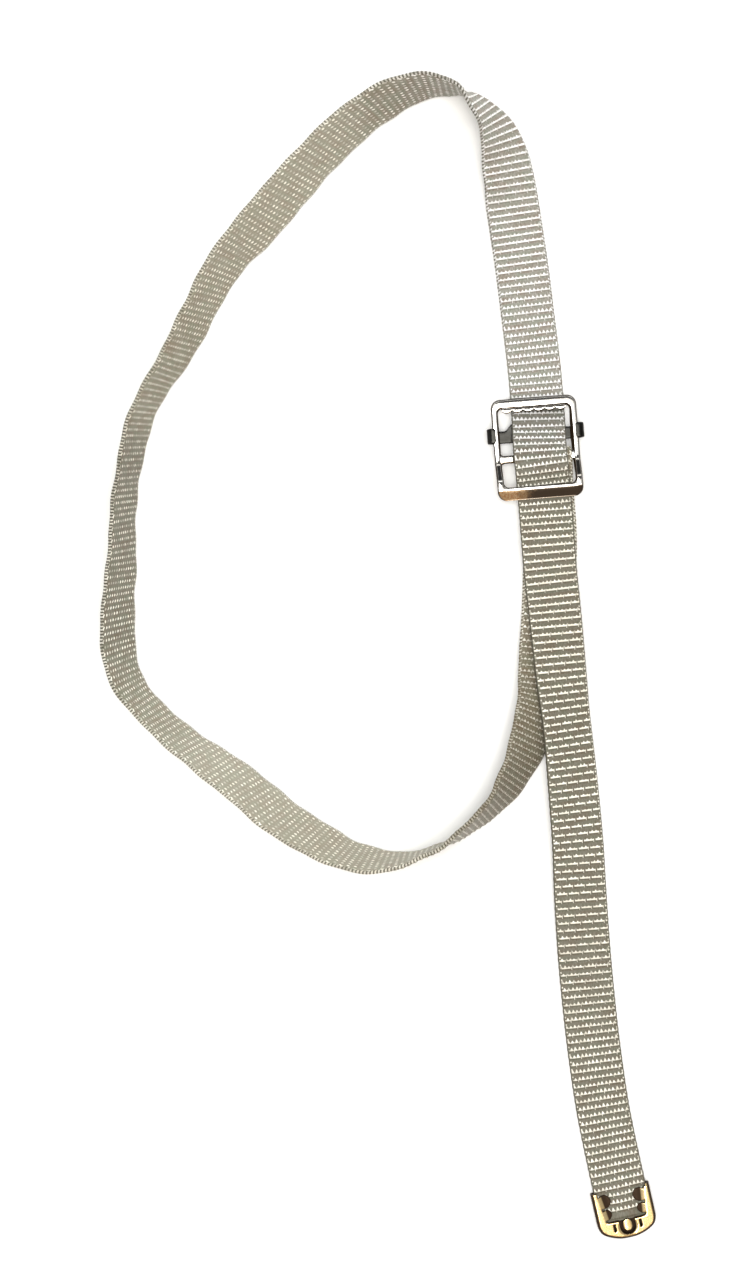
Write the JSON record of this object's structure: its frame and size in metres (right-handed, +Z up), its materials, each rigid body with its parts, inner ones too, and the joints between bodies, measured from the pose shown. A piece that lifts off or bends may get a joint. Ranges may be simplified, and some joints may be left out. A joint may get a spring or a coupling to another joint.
{
  "type": "wrist strap",
  "caption": "Flat ribbed webbing wrist strap with a sliding-bar friction buckle, an open wrist loop, a long free tail and a crimped metal strap tip.",
  "frame": {"origin": "centre of the strap's bounding box, at the surface that it lies on", "axes": "+Y runs along the buckle's rails, from the free tail towards the loop; +Z is up, out of the surface; +X is to the right of the buckle"},
  "size_m": [0.1201, 0.2782, 0.0127],
  "materials": {
    "buckle_metal": "polished nickel plate",
    "grip_metal": "polished nickel plate, slightly darker",
    "webbing": "woven ribbed nylon, warm light grey",
    "thread": "twisted thread, pale",
    "tip_metal": "polished gold-coloured plate"
  },
  "bodies": {
    "strap": {"buckle_frame": "buckle_metal", "webbing_tail": "webbing", "webbing_in_buckle": "webbing", "webbing_loop_top": "webbing", "webbing_loop_side": "webbing", "webbing_loop_bottom": "webbing", "webbing_return": "webbing", "webbing_anchor_fold": "webbing", "anchor_stitching": "thread", "strap_tip": "tip_metal"},
    "grip_bar": {"grip_bar": "grip_metal"}
  },
  "joints": [
    {"name": "grip_bar_slide", "type": "slide", "parent": "strap", "child": "grip_bar", "axis": [0, -1, 0], "range_m": [0, 0.0014]}
  ]
}
